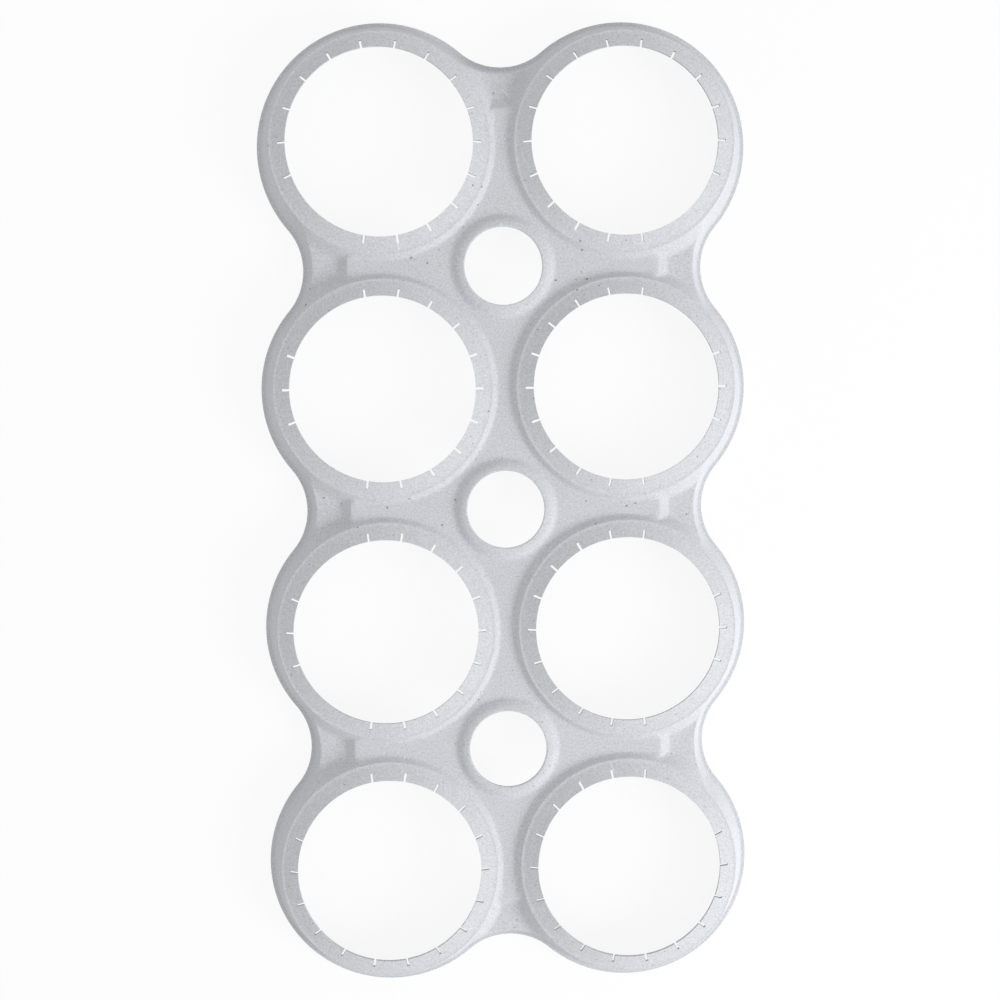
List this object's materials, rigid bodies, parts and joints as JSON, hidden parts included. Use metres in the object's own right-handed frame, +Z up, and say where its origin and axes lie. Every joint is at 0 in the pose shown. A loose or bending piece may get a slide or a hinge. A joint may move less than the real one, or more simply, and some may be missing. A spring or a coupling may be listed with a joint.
{
  "type": "can carrier ring",
  "caption": "Pulp can carrier: joined hollow caps with slit tabs round their openings, raised finger holes in the web between them and a thin trimmed lip.",
  "frame": {"origin": "middle of the carrier on its resting plane, halfway along and across, at the underside of the lip", "axes": "+X across the two columns of cans, +Y along the rows, the longest way, +Z up, from the lip to the tips of the tabs"},
  "size_m": [0.1384, 0.2748, 0.0124],
  "materials": {
    "pulp": "matte"
  },
  "bodies": {
    "root": {"can_carrier": "pulp"}
  },
  "joints": []
}
